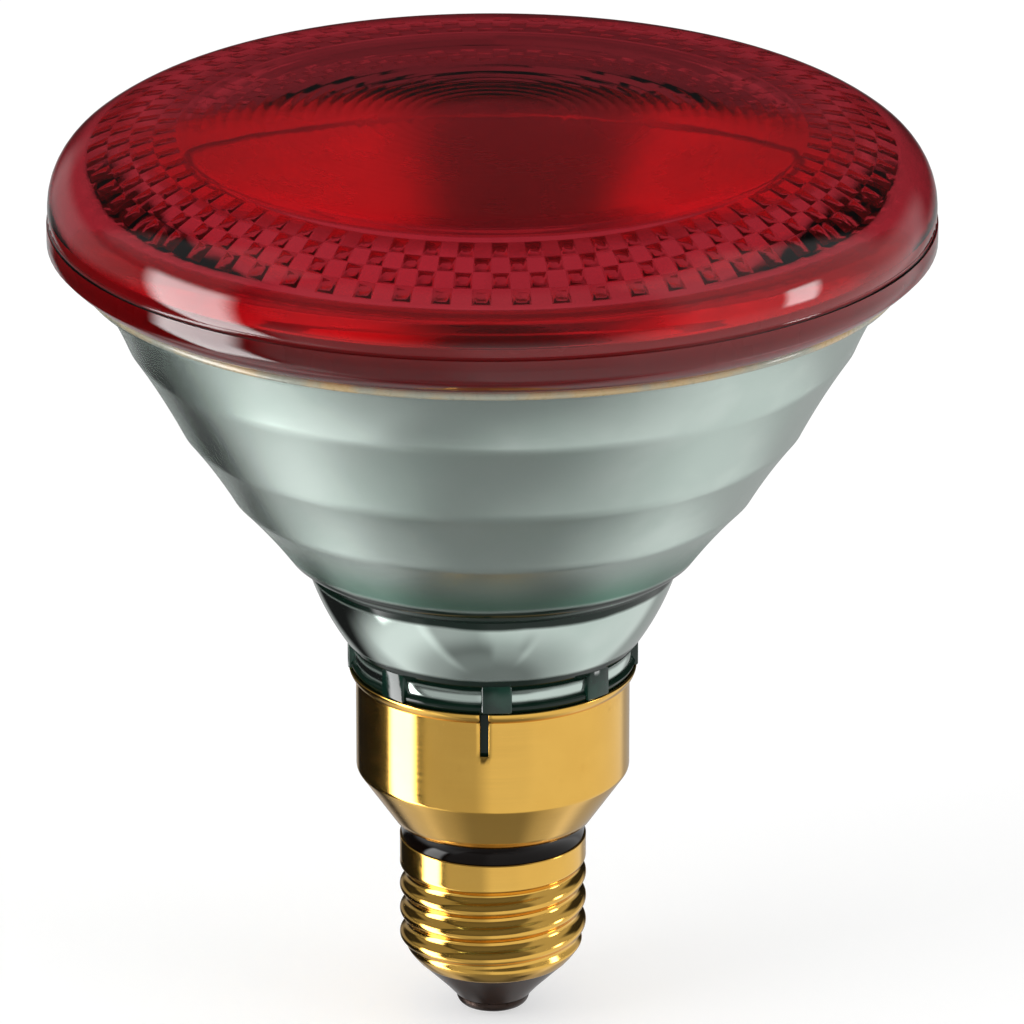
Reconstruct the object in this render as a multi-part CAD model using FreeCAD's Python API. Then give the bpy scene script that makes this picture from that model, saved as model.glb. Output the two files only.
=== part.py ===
import FreeCAD, Part

import math
import os

from FreeCAD import Vector

# Infrared heat lamp bulb: a pressed glass reflector and red lens, 121 mm across, on a skirted screw cap.
# Millimetres. Z runs up the lamp's axis, from the end contact's tip at z = 0 to the lens.
# The front of the lamp, where the slot in the skirt is, faces -Y.

# End contact and its solder
solder_flat_radius = 2.3
solder_radius = 3.3
solder_height = 0.5
solder_bulge = 0.12
contact_radius = 5.1
contact_height = 1.5
contact_edge_round = 1.4

# Black glass insulator
insulator_foot_height = 1.9
insulator_foot_radius = 6.8
insulator_cone_height = 3.8
insulator_lip = 0.05
insulator_rise = 3.6
insulator_clearance = 0.2
feed_hole_radius = 0.6

# Rolled screw shell, with the lamp thread of 27 mm
shell_sheet = 0.35
shell_height = 18.5
shell_rim_radius = 10.7
shell_collar_radius = 13.0
nose_height = 3.3
crest_radius = 13.05
root_radius = 12.05
pitch = 3.629
crest_height = 8.95
thread_start = (1.6, 3.4)
thread_end = (3.4, 1.6)
shell_points_per_turn = 36
shell_points_per_pitch = 12

# Throat ring between the screw shell and the skirt
throat_height = 2.9
throat_foot_radius = 12.8
throat_head_radius = 13.65
throat_hollow = 0.28
throat_bore_radius = 10.4
throat_spigot_down = 1.2
throat_spigot_up = 1.0
throat_spigot_clearance = 0.3
fit_clearance = 0.1

# Skirt, one drawn cup of brass sheet
skirt_sheet = 0.4
skirt_foot_radius = 13.8
skirt_radius = 19.0
skirt_cone_height = 7.5
skirt_wall_height = 13.2
lip_height = 1.6
lip_radius = 19.95
lip_flare = 0.18
skirt_corner_round = 1.2
slot_width = 1.2
slot_depth = 6.5
slot_angle = 266.6

# Glass neck of the reflector
neck_clearance = 0.25
plug_depth = 8.0
plug_round = 2.4
floor_thickness = 5.4
bead_radius = 19.8
bead_height = 3.4
bead_overlap = 0.5
bead_undercut = 0.55
groove_radius = 19.25
groove_height = 0.6
neck_top_radius = 25.75
neck_height = 12.1
neck_bulge = 0.65
shelf_radius = 28.4
shelf_height = 2.1
lug_count = 8
lug_width = 4.2
lug_height = 5.6
lug_point = 1.6
lug_gap = 0.15
lug_root_radius = 17.75
lug_radius = 20.1
lug_angle = 271.7

# Bowl of the reflector, a stepped paraboloid under the lens
band_heights = (9.3, 9.8, 12.2, 8.6)
band_hollow = 0.12
rim_inset = 0.8
rim_lip = 1.937
rim_flare = 0.9
rim_flare_round = 0.3
well_floor_radius = 13.2
well_mouth_radius = 16.5
mirror_focal_step = 0.8
mirror_gap = 3.127
mirror_points = 8

# Bead that seals the lens to the reflector
seal_height = 1.2
seal_proud = 0.4
seal_width = 3.9
seal_round = 0.35

# Front lens, pressed ruby glass
flange_radius = 60.65
flange_width = 3.35
flange_height = 2.7
foot_rise = 2.85
foot_bulge = 0.19
parting_depth = 0.4
parting_height = 0.8
shoulder_radius = 9.9
shoulder_inset = 0.15
shoulder_rise = 1.3
shoulder_end_slope = 38.0
brow_radius = 23.2
face_slope = 3.5
lens_thickness = 6.0
disc_radius = 8.6
ring_count = 20
ring_depth = 0.2
ring_dome_radius = 250.0
stipple_slope = 27.0
stipple_band = 9.8
stipple_rows = 4
stipples_per_row = 64
stipple_radius = 1.2
stipple_height = 0.65
stipple_sides = 6
wall_slope = 2.0
wall_hollow = 0.2
wall_inset = 1.2
wall_thickness = 6.45

# Inner works
ferrule_radius = 2.2
ferrule_wall = 0.45
ferrule_offset = 8.0
ferrule_proud = 1.4
ferrule_cap = 0.8
braze_radius = 1.7
braze_height = 1.3
braze_hollow = 0.25
rod_radius = 0.75
filament_rise = 21.9
coil_radius = 0.9
coil_bow = 3.5
support_wire_radius = 0.35
support_depth = 2.0
support_loop_gap = 0.1
side_solder_radius = 1.3
side_solder_length = 0.9
side_solder_drop = 2.2
stub_radius = 2.6
stub_bore_radius = 1.2
stub_length = 7.5
feed_wire_radius = 0.4
feed_wire_drop = 3.0
feed_wire_gap = 1.2
cut_overrun = 1.0

# Radii at the lens, each from the flange inwards
lens_foot_radius = flange_radius - flange_width
lens_wall_radius = flange_radius - wall_thickness
stipple_field_radius = lens_wall_radius - wall_inset
ring_field_radius = stipple_field_radius - stipple_band
rim_radius = lens_foot_radius - rim_inset
seal_outer_radius = rim_radius + seal_proud
seal_inner_radius = seal_outer_radius - seal_width
bowl_mouth_radius = rim_radius - rim_lip
bowl_focal = (bowl_mouth_radius ** 2 - shelf_radius ** 2) / (4 * sum(band_heights))
mirror_focal = bowl_focal - mirror_focal_step

# Heights along the axis, each from the piece below
contact_top = solder_height + contact_height
insulator_crease = contact_top + insulator_foot_height
shell_bottom = insulator_crease + insulator_cone_height
shell_top = shell_bottom + shell_height
throat_top = shell_top + throat_height
skirt_corner = throat_top + skirt_cone_height
lip_bottom = skirt_corner + skirt_wall_height
skirt_top = lip_bottom + lip_height
bead_bottom = skirt_top - bead_overlap
bead_top = bead_bottom + bead_height
neck_bottom = bead_top + groove_height
neck_top = neck_bottom + neck_height
bowl_bottom = neck_top + shelf_height
bowl_vertex = bowl_bottom - shelf_radius ** 2 / (4 * bowl_focal)
rim_bottom = bowl_bottom + sum(band_heights)
rim_top = rim_bottom + rim_flare
lens_bottom = rim_top + seal_height
flange_bottom = lens_bottom + foot_rise
flange_top = flange_bottom + flange_height
shoulder_start = flange_top + parting_height
glass_floor = bead_bottom - plug_depth
well_floor = glass_floor + floor_thickness
mirror_vertex = bowl_vertex + mirror_gap
filament_height = well_floor + filament_rise
side_solder_height = shell_top - throat_spigot_down - side_solder_drop
side_solder_start = root_radius - shell_sheet - fit_clearance - side_solder_length


def at(radius, z):
    """A point of a turned section, in the plane y = 0."""
    return Vector(radius, 0, z)


def line(start, end):
    return Part.LineSegment(at(*start), at(*end)).toShape()


def arc(start, middle, end):
    return Part.Arc(at(*start), at(*middle), at(*end)).toShape()


def turned(edges):
    """The solid that a closed section sweeps in a full turn about the lamp's axis."""
    section = Part.Face(Part.Wire(Part.__sortEdges__(edges)))
    return section.revolve(Vector(0, 0, 0), Vector(0, 0, 1), 360)


def turned_polygon(points):
    closed = list(points) + [points[0]]
    return turned([line(a, b) for a, b in zip(closed, closed[1:])])


def middle_of(start, end, bulge):
    """The middle of an arc from start to end that stands bulge off its chord, to the right."""
    dr = end[0] - start[0]
    dz = end[1] - start[1]
    length = math.hypot(dr, dz)
    middle_r = (start[0] + end[0]) / 2 + bulge * dz / length
    middle_z = (start[1] + end[1]) / 2 - bulge * dr / length
    return (middle_r, middle_z)


def bowed(start, end, bulge):
    return arc(start, middle_of(start, end, bulge), end)


def quarter_round(start, end):
    """A quarter circle that leaves start outwards and meets end upwards."""
    turn = math.sqrt(0.5)
    middle = (start[0] + (end[0] - start[0]) * turn, end[1] - (end[1] - start[1]) * turn)
    return arc(start, middle, end)


def rod(points, radius):
    """A round wire along straight runs, with a ball at each bend."""
    solid = None
    for start, end in zip(points, points[1:]):
        run = end - start
        piece = Part.makeCylinder(radius, run.Length, start, run)
        if solid is None:
            solid = piece
        else:
            solid = solid.fuse(Part.makeSphere(radius, start)).fuse(piece)
    return solid.removeSplitter()


def mirror_height(radius):
    return mirror_vertex + radius ** 2 / (4 * mirror_focal)


def mirror_radius(z):
    return math.sqrt(4 * mirror_focal * (z - mirror_vertex))


def bowl_radius(z):
    return math.sqrt(4 * bowl_focal * (z - bowl_vertex))


def smooth_step(value, start, end):
    share = min(1.0, max(0.0, (value - start) / (end - start)))
    return share * share * (3 - 2 * share)


# The lamp thread: equal arcs at crest and root that meet halfway up the flank
thread_depth = crest_radius - root_radius
thread_arc = (pitch ** 2 / 4 + thread_depth ** 2) / (4 * thread_depth)
mean_radius = (crest_radius + root_radius) / 2


def thread_radius(angle, z):
    """The endless thread's radius at an angle and height, right-handed."""
    lead = z - shell_bottom - crest_height - pitch * angle / (2 * math.pi)
    away = abs(lead - pitch * round(lead / pitch))
    if away <= pitch / 4:
        return crest_radius - thread_arc + math.sqrt(thread_arc ** 2 - away ** 2)
    return root_radius + thread_arc - math.sqrt(thread_arc ** 2 - (pitch / 2 - away) ** 2)


def shell_radius(angle, z):
    """The screw shell's outside: a rounded nose, the rolled thread and a plain collar."""
    up = z - shell_bottom
    nose = min(1.0, up / nose_height)
    body = shell_rim_radius + (mean_radius - shell_rim_radius) * math.sin(math.pi / 2 * nose)
    rise = smooth_step(up, *thread_start)
    fade = 1 - smooth_step(up, shell_height - thread_end[0], shell_height - thread_end[1])
    collar = (shell_collar_radius - mean_radius) * (1 - fade)
    return body + collar + (thread_radius(angle, z) - mean_radius) * rise * fade


def shell_core(inset):
    """The solid inside the shell's skin, through points that follow the thread's formula."""
    columns = shell_points_per_turn
    rows = round(shell_height / pitch * shell_points_per_pitch)
    grid = []
    for i in range(columns):
        angle = 2 * math.pi * i / columns
        column = []
        for j in range(rows + 1):
            z = shell_bottom + shell_height * j / rows
            radius = shell_radius(angle, z) - inset
            column.append(Vector(radius * math.cos(angle), radius * math.sin(angle), z))
        grid.append(column)
    surface = Part.BSplineSurface()
    surface.interpolate(grid + grid[:1])
    skin = surface.toShape()
    ends = [Part.Face(Part.Wire(edge)) for edge in skin.Edges if edge.BoundBox.ZLength < shell_sheet]
    core = Part.Shell([skin] + ends)
    core.sewShape()
    solid = Part.Solid(core)
    if solid.Volume < 0:
        solid.reverse()
    return solid


def screw_shell():
    return shell_core(0).cut(shell_core(shell_sheet))


def centre_solder():
    foot = (solder_flat_radius, 0)
    head = (solder_radius, solder_height)
    return turned([
        line((0, 0), foot),
        bowed(foot, head, solder_bulge),
        line(head, (0, solder_height)),
        line((0, solder_height), (0, 0)),
    ])


def end_contact():
    bottom = solder_height
    edge_start = (contact_radius - contact_edge_round, bottom)
    edge_end = (contact_radius, bottom + contact_edge_round)
    return turned([
        line((0, bottom), edge_start),
        quarter_round(edge_start, edge_end),
        line(edge_end, (contact_radius, contact_top)),
        line((contact_radius, contact_top), (0, contact_top)),
        line((0, contact_top), (0, bottom)),
    ])


def insulator():
    """Black glass poured into the shell's nose, with a hole for the feed wire."""
    lip = shell_rim_radius - insulator_lip
    inside = shell_rim_radius - shell_sheet
    seat = thread_start[0]
    seat_radius = shell_radius(0, shell_bottom + seat) - shell_sheet
    top = shell_bottom + insulator_rise
    top_radius = root_radius - shell_sheet - insulator_clearance
    return turned_polygon([
        (feed_hole_radius, contact_top),
        (contact_radius, contact_top),
        (insulator_foot_radius, insulator_crease),
        (lip, shell_bottom),
        (inside, shell_bottom),
        (seat_radius, shell_bottom + seat),
        (min(seat_radius, top_radius), top),
        (feed_hole_radius, top),
    ])


def throat_ring():
    """The dark ring that carries the skirt on the screw shell."""
    spigot = shell_collar_radius - shell_sheet - fit_clearance
    skirt_bore = skirt_foot_radius - skirt_sheet - throat_spigot_clearance
    foot = (throat_foot_radius, shell_top)
    head = (throat_head_radius, throat_top)
    down = shell_top - throat_spigot_down
    up = throat_top + throat_spigot_up
    return turned([
        line((throat_bore_radius, down), (spigot, down)),
        line((spigot, down), (spigot, shell_top)),
        line((spigot, shell_top), foot),
        bowed(foot, head, -throat_hollow),
        line(head, (skirt_bore, throat_top)),
        line((skirt_bore, throat_top), (skirt_bore, up)),
        line((skirt_bore, up), (throat_bore_radius, up)),
        line((throat_bore_radius, up), (throat_bore_radius, down)),
    ])


def skirt_skin(inset):
    """The skirt's outline from foot to lip, moved inwards by the sheet's thickness."""
    half = math.atan2(skirt_radius - skirt_foot_radius, skirt_cone_height)
    slant = inset / math.cos(half)
    corner = inset * math.tan(half / 2)
    return [
        (skirt_foot_radius - slant, throat_top),
        (skirt_radius - inset, skirt_corner + corner),
        (skirt_radius - inset, lip_bottom),
        (lip_radius - inset, skirt_top),
    ]


def skirt():
    outside = skirt_skin(0)
    inside = skirt_skin(skirt_sheet)

    edges = [line(outside[3], inside[3]), line(inside[0], outside[0])]
    for side in (outside, inside):
        edges.append(line(side[0], side[1]))
        edges.append(line(side[1], side[2]))
        edges.append(bowed(side[2], side[3], lip_flare))
    solid = turned(edges)
    corners = [
        edge
        for edge in solid.Edges
        if len(edge.Vertexes) == 1
        and edge.BoundBox.ZLength < fit_clearance
        and abs(edge.BoundBox.ZMax - skirt_corner) < skirt_sheet
    ]
    solid = solid.makeFillet(skirt_corner_round, corners)
    slot = Part.makeBox(
        lip_radius,
        slot_width,
        slot_depth + lip_height,
        Vector(skirt_radius / 2, -slot_width / 2, skirt_top - slot_depth),
    )
    slot.rotate(Vector(0, 0, 0), Vector(0, 0, 1), slot_angle)
    return solid.cut(slot)


def reflector_outside():
    """The outline from the glass floor up to the rim, as edges."""
    plug = skirt_radius - skirt_sheet - neck_clearance
    plug_start = (plug - plug_round, glass_floor)
    plug_end = (plug, glass_floor + plug_round)
    foot = (groove_radius - bead_undercut, bead_bottom)
    edges = [
        line((stub_bore_radius, glass_floor), plug_start),
        quarter_round(plug_start, plug_end),
        line(plug_end, (plug, bead_bottom)),
        line((plug, bead_bottom), foot),
        arc(foot, (bead_radius, (bead_bottom + bead_top) / 2), (groove_radius, bead_top)),
        line((groove_radius, bead_top), (groove_radius, neck_bottom)),
        bowed((groove_radius, neck_bottom), (neck_top_radius, neck_top), neck_bulge),
        line((neck_top_radius, neck_top), (shelf_radius, bowl_bottom)),
    ]
    start = (shelf_radius, bowl_bottom)
    for height in band_heights:
        top = start[1] + height
        end = (bowl_radius(top), top)
        middle = (start[1] + top) / 2
        edges.append(arc(start, (bowl_radius(middle) - band_hollow, middle), end))
        start = end
    flare = (rim_radius - rim_flare_round, (rim_bottom + rim_top) / 2)
    edges.append(line(start, flare))
    edges.append(line(flare, (rim_radius, rim_top)))
    return edges


def reflector():
    """Pressed glass: the stepped bowl, its mirror face, the well and the neck with lugs."""
    mouth = mirror_radius(rim_top)
    points = []
    for i in range(mirror_points + 1):
        radius = well_mouth_radius + (mouth - well_mouth_radius) * i / mirror_points
        points.append(at(radius, mirror_height(radius)))
    mirror = Part.BSplineCurve()
    mirror.interpolate(points)
    well_top = mirror_height(well_mouth_radius)
    body = turned(
        reflector_outside()
        + [
            line((rim_radius, rim_top), (mouth, rim_top)),
            mirror.toShape(),
            line((well_mouth_radius, well_top), (well_floor_radius, well_floor)),
            line((well_floor_radius, well_floor), (stub_bore_radius, well_floor)),
            line((stub_bore_radius, well_floor), (stub_bore_radius, glass_floor)),
        ]
    )
    body = body.fuse([lug(i) for i in range(lug_count)])
    for side in (-1, 1):
        hole = Part.makeCylinder(
            ferrule_radius,
            floor_thickness + 2 * cut_overrun,
            Vector(side * ferrule_offset, 0, glass_floor - cut_overrun),
        )
        body = body.cut(hole)
    socket = Part.makeCylinder(
        support_wire_radius,
        support_depth + cut_overrun,
        Vector(0, ferrule_offset, well_floor - support_depth),
    )
    return body.cut(socket)


def lug(index):
    """One pressed lug over the groove, pointed at the top like an arrowhead."""
    bottom = skirt_top + lug_gap
    top = bottom + lug_height
    outline = Part.makePolygon([
        Vector(lug_root_radius, -lug_width / 2, bottom),
        Vector(lug_root_radius, lug_width / 2, bottom),
        Vector(lug_root_radius, lug_width / 2, top - lug_point),
        Vector(lug_root_radius, 0, top),
        Vector(lug_root_radius, -lug_width / 2, top - lug_point),
        Vector(lug_root_radius, -lug_width / 2, bottom),
    ])
    block = Part.Face(outline).extrude(Vector(lug_radius - lug_root_radius, 0, 0))
    block.rotate(Vector(0, 0, 0), Vector(0, 0, 1), lug_angle + 360 * index / lug_count)
    return block


def rim_seal():
    low = (seal_outer_radius - seal_round, rim_top)
    high = (seal_outer_radius - seal_round, lens_bottom)
    return turned([
        line((seal_inner_radius, rim_top), low),
        bowed(low, high, seal_round),
        line(high, (seal_inner_radius, lens_bottom)),
        line((seal_inner_radius, lens_bottom), (seal_inner_radius, rim_top)),
    ])


def ring_dome_height(radius):
    apex = lens_apex() - lens_thickness
    return apex - ring_dome_radius + math.sqrt(ring_dome_radius ** 2 - radius ** 2)


def shoulder_point(slope):
    """The point of the lens's edge where its slope is as given: shoulder arc, then brow arc."""
    centre_r = flange_radius - shoulder_inset - shoulder_radius
    centre_z = shoulder_start + shoulder_rise
    radius = shoulder_radius
    if slope < shoulder_end_slope:
        radius = brow_radius
        join = math.radians(shoulder_end_slope)
        centre_r += (shoulder_radius - brow_radius) * math.sin(join)
        centre_z += (shoulder_radius - brow_radius) * math.cos(join)
    turn = math.radians(slope)
    return (centre_r + radius * math.sin(turn), centre_z + radius * math.cos(turn))


def lens_apex():
    edge = shoulder_point(face_slope)
    turn = math.radians(face_slope)
    return edge[1] + edge[0] / math.sin(turn) * (1 - math.cos(turn))


def stipple_height_at(radius):
    start = ring_dome_height(ring_field_radius)
    return start - (radius - ring_field_radius) * math.tan(math.radians(stipple_slope))


def lens_outside():
    """The outline from the foot, over the flange and shoulder, to the middle of the face."""
    shoulder_foot = shoulder_point(90)
    shoulder_end = shoulder_point(shoulder_end_slope)
    face_edge = shoulder_point(face_slope)
    apex = lens_apex()
    turn = math.radians(face_slope)
    face_radius = face_edge[0] / math.sin(turn)
    half = turn / 2
    face_middle = (face_radius * math.sin(half), apex - face_radius * (1 - math.cos(half)))
    notch = (flange_radius - parting_depth, flange_top + parting_height / 2)
    return [
        bowed((lens_foot_radius, lens_bottom), (flange_radius, flange_bottom), foot_bulge),
        line((flange_radius, flange_bottom), (flange_radius, flange_top)),
        line((flange_radius, flange_top), notch),
        line(notch, (shoulder_foot[0], shoulder_start)),
        line((shoulder_foot[0], shoulder_start), shoulder_foot),
        arc(shoulder_foot, shoulder_point((90 + shoulder_end_slope) / 2), shoulder_end),
        arc(shoulder_end, shoulder_point((shoulder_end_slope + face_slope) / 2), face_edge),
        arc(face_edge, face_middle, (0, apex)),
    ]


def lens_inside():
    """The outline of the back: plain disc, ripple rings, stipple cone and side wall."""
    apex = ring_dome_height(0)
    edges = [line((0, lens_apex()), (0, apex))]
    half = (disc_radius / 2, ring_dome_height(disc_radius / 2))
    start = (disc_radius, ring_dome_height(disc_radius))
    edges.append(arc((0, apex), half, start))
    step = (ring_field_radius - disc_radius) / ring_count
    for i in range(ring_count):
        radius = disc_radius + step * (i + 1)
        end = (radius, ring_dome_height(radius))
        edges.append(bowed(start, end, ring_depth))
        start = end
    foot = (stipple_field_radius, stipple_height_at(stipple_field_radius))
    wall = (lens_wall_radius, foot[1] - wall_slope * wall_inset)
    edges.append(line(start, foot))
    edges.append(bowed(foot, wall, -wall_hollow))
    edges.append(line(wall, (lens_wall_radius, lens_bottom)))
    edges.append(line((lens_wall_radius, lens_bottom), (lens_foot_radius, lens_bottom)))
    return edges


def stipple(row, index):
    """One pointed stud on the back of the lens, standing on the stipple cone."""
    band = (stipple_field_radius - ring_field_radius) / stipple_rows
    radius = ring_field_radius + band * (row + 0.5)
    foot = Vector(radius, 0, stipple_height_at(radius))
    turn = math.radians(stipple_slope)
    out = Vector(math.cos(turn), 0, -math.sin(turn))
    down = Vector(-math.sin(turn), 0, -math.cos(turn))
    sunk = foot - down * stipple_height
    reach = 2 * stipple_radius
    base = []
    for i in range(stipple_sides):
        angle = 2 * math.pi * i / stipple_sides
        base.append(sunk + out * (reach * math.cos(angle)) + Vector(0, reach * math.sin(angle), 0))
    tip = foot + down * stipple_height
    faces = [Part.Face(Part.makePolygon(base + [base[0]]))]
    for a, b in zip(base, base[1:] + base[:1]):
        faces.append(Part.Face(Part.makePolygon([a, b, tip, a])))
    stud = Part.Solid(Part.Shell(faces))
    stagger = 0.5 * (row % 2)
    stud.rotate(Vector(0, 0, 0), Vector(0, 0, 1), 360 * (index + stagger) / stipples_per_row)
    return stud


def front_lens():
    blank = turned(lens_outside() + lens_inside())
    studs = [
        stipple(row, index)
        for row in range(stipple_rows)
        for index in range(stipples_per_row)
    ]
    return blank.fuse(studs)


def ferrule(side):
    """A metal thimble sealed through the glass floor, closed at the top."""
    x = side * ferrule_offset
    height = floor_thickness + ferrule_proud
    cup = Part.makeCylinder(ferrule_radius, height, Vector(x, 0, glass_floor))
    hollow = Part.makeCylinder(
        ferrule_radius - ferrule_wall, height - ferrule_cap, Vector(x, 0, glass_floor)
    )
    return cup.cut(hollow)


def braze(side):
    """The collar of hard solder that joins a lead rod to its ferrule."""
    foot = well_floor + ferrule_proud
    section_top = foot + braze_height
    collar = turned([
        line((rod_radius, foot), (braze_radius, foot)),
        bowed((braze_radius, foot), (rod_radius, section_top), -braze_hollow),
        line((rod_radius, section_top), (rod_radius, foot)),
    ])
    collar.translate(Vector(side * ferrule_offset, 0, 0))
    return collar


def lead_rod(side):
    x = side * ferrule_offset
    bottom = well_floor + ferrule_proud
    top = filament_height + coil_radius
    return Part.makeCylinder(rod_radius, top - bottom, Vector(x, 0, bottom))


# The filament bows back from one rod to the other, through its support
coil_reach = ferrule_offset - rod_radius
coil_path_radius = (coil_reach ** 2 + coil_bow ** 2) / (2 * coil_bow)
coil_half_angle = math.degrees(math.asin(coil_reach / coil_path_radius))


def filament():
    coil = Part.makeTorus(
        coil_path_radius, coil_radius, Vector(0, 0, 0), Vector(0, 0, 1), -180, 180, 2 * coil_half_angle
    )
    coil.rotate(Vector(0, 0, 0), Vector(0, 0, 1), 90 - coil_half_angle)
    coil.translate(Vector(0, coil_bow - coil_path_radius, filament_height))
    return coil


def support_wire():
    """Stands in the glass floor and holds the filament's middle in a loop."""
    loop_radius = coil_radius + support_wire_radius + support_loop_gap
    loop = Part.makeTorus(
        loop_radius, support_wire_radius, Vector(0, coil_bow, filament_height), Vector(1, 0, 0)
    )
    foot = Vector(0, ferrule_offset, well_floor - support_depth)
    knee = Vector(0, ferrule_offset, filament_height - 3 * loop_radius)
    hold = Vector(0, coil_bow, filament_height - loop_radius)
    return rod([foot, knee, hold], support_wire_radius).fuse(loop)


def exhaust_stub():
    """The glass tube that the air was drawn through, melted shut at its lower end."""
    shoulder = glass_floor - stub_length + stub_radius
    bore_end = shoulder + stub_bore_radius
    return turned([
        line((stub_bore_radius, glass_floor), (stub_radius, glass_floor)),
        line((stub_radius, glass_floor), (stub_radius, shoulder)),
        quarter_round((0, shoulder - stub_radius), (stub_radius, shoulder)),
        line((0, shoulder - stub_radius), (0, shoulder)),
        line((0, shoulder), (stub_bore_radius, bore_end)),
        line((stub_bore_radius, bore_end), (stub_bore_radius, glass_floor)),
    ])


def feed_wires():
    """The two wires below the glass: one to the end contact, one to the screw shell."""
    cup_top = well_floor + ferrule_proud - ferrule_cap
    below = glass_floor - feed_wire_drop
    axis_height = throat_top + throat_spigot_up
    contact_wire = rod(
        [
            Vector(-ferrule_offset, 0, cup_top),
            Vector(-ferrule_offset, 0, below),
            Vector(0, 0, axis_height),
            Vector(0, 0, contact_top),
        ],
        feed_wire_radius,
    )
    inner = throat_bore_radius - feed_wire_gap
    shell_wire = rod(
        [
            Vector(ferrule_offset, 0, cup_top),
            Vector(ferrule_offset, 0, below),
            Vector(inner, 0, axis_height),
            Vector(inner, 0, side_solder_height),
            Vector(side_solder_start, 0, side_solder_height),
        ],
        feed_wire_radius,
    )
    return contact_wire, shell_wire


def side_solder():
    """The drop of solder between the shell's feed wire and the shell's inner wall."""
    start = Vector(side_solder_start, 0, side_solder_height)
    return Part.makeCone(
        side_solder_radius / 2, side_solder_radius, side_solder_length, start, Vector(1, 0, 0)
    )


def main():
    contact_wire, shell_wire = feed_wires()
    pieces = {
        "front_lens": front_lens(),
        "rim_seal": rim_seal(),
        "reflector": reflector(),
        "skirt": skirt(),
        "throat_ring": throat_ring(),
        "screw_shell": screw_shell(),
        "insulator": insulator(),
        "end_contact": end_contact(),
        "centre_solder": centre_solder(),
        "ferrule_left": ferrule(-1),
        "ferrule_right": ferrule(1),
        "braze_left": braze(-1),
        "braze_right": braze(1),
        "lead_rod_left": lead_rod(-1),
        "lead_rod_right": lead_rod(1),
        "filament": filament(),
        "support_wire": support_wire(),
        "exhaust_stub": exhaust_stub(),
        "contact_feed_wire": contact_wire,
        "shell_feed_wire": shell_wire,
        "side_solder": side_solder(),
    }
    os.makedirs("parts", exist_ok=True)
    for name, shape in pieces.items():
        shape.exportStep(f"parts/{name}.step")
        print(name, shape.isValid(), len(shape.Solids), round(shape.Volume, 1), len(shape.Faces))


main()
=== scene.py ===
import math

import bmesh
import bpy
from mathutils import Matrix, Vector


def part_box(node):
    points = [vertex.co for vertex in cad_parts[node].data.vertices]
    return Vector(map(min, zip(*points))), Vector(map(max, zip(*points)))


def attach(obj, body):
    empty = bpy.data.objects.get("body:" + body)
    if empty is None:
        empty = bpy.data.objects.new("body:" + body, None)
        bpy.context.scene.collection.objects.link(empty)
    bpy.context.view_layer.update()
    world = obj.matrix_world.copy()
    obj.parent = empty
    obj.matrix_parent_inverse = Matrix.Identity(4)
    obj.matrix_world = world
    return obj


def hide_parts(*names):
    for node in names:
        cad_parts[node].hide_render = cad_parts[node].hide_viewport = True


# Infrared heat lamp bulb, dressed around its solids. The sizes in the dictionaries are in mm.
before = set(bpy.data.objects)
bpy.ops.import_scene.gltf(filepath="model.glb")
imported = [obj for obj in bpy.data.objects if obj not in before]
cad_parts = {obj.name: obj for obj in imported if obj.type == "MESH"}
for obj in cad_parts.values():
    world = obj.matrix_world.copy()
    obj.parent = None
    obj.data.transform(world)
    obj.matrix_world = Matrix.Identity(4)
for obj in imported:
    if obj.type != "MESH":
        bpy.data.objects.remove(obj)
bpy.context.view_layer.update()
mm = 0.001


def lowOf(node):
    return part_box(node)[0].z / mm


def highOf(node):
    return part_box(node)[1].z / mm


# Turned outlines are lists of (radius, height) in mm

quarterBulge = 1 - math.sqrt(0.5)  # of a quarter circle, as a share of its radius


def arcTo(outline, end, bulge, count):
    # a circle's arc from the last point to end, bulge off its chord, to the right
    start = outline[-1]
    dr, dz = end[0] - start[0], end[1] - start[1]
    chord = math.hypot(dr, dz)
    half = 2 * math.atan2(2 * bulge, chord)
    radius = chord / (2 * math.sin(half))
    for i in range(1, count + 1):
        turn = half * (2 * i / count - 1)
        along = 0.5 + math.sin(turn) * radius / chord
        off = (math.cos(turn) - math.cos(half)) * radius / chord
        outline.append((start[0] + dr * along + dz * off, start[1] + dz * along - dr * off))


def roundAbout(outline, centre, radius, first, last, count):
    # an arc about a centre, from one slope to another, where slope 0 points up and 90 outwards
    for i in range(count + 1):
        slope = math.radians(first + (last - first) * i / count)
        outline.append((centre[0] + radius * math.sin(slope), centre[1] + radius * math.cos(slope)))


def lineTo(outline, end, count=1):
    start = outline[-1]
    for i in range(1, count + 1):
        outline.append(tuple(a + (b - a) * i / count for a, b in zip(start, end)))


def spinOutline(outline, steps, closed=False, startAngle=0.0):
    bm = bmesh.new()
    verts = [bm.verts.new((radius * mm, 0, height * mm)) for radius, height in outline]
    edges = [bm.edges.new(pair) for pair in zip(verts, verts[1:])]
    if closed:
        edges.append(bm.edges.new((verts[-1], verts[0])))
    start = Matrix.Rotation(math.radians(startAngle), 3, "Z")
    bmesh.ops.rotate(bm, verts=verts, cent=(0, 0, 0), matrix=start)
    bmesh.ops.spin(
        bm, geom=verts + edges, cent=(0, 0, 0), axis=(0, 0, 1), angle=2 * math.pi, steps=steps,
        use_merge=True,
    )
    bmesh.ops.remove_doubles(bm, verts=bm.verts, dist=0.002 * mm)
    bmesh.ops.recalc_face_normals(bm, faces=bm.faces)
    return bm


def turnOutward(bm):
    # recalculated normals of an open cup or tube may still all point inwards
    bmesh.ops.recalc_face_normals(bm, faces=bm.faces)
    side = max(bm.faces, key=lambda face: face.calc_center_median().xy.length)
    if side.normal.xy.dot(side.calc_center_median().xy) < 0:
        bmesh.ops.reverse_faces(bm, faces=bm.faces)


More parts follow.
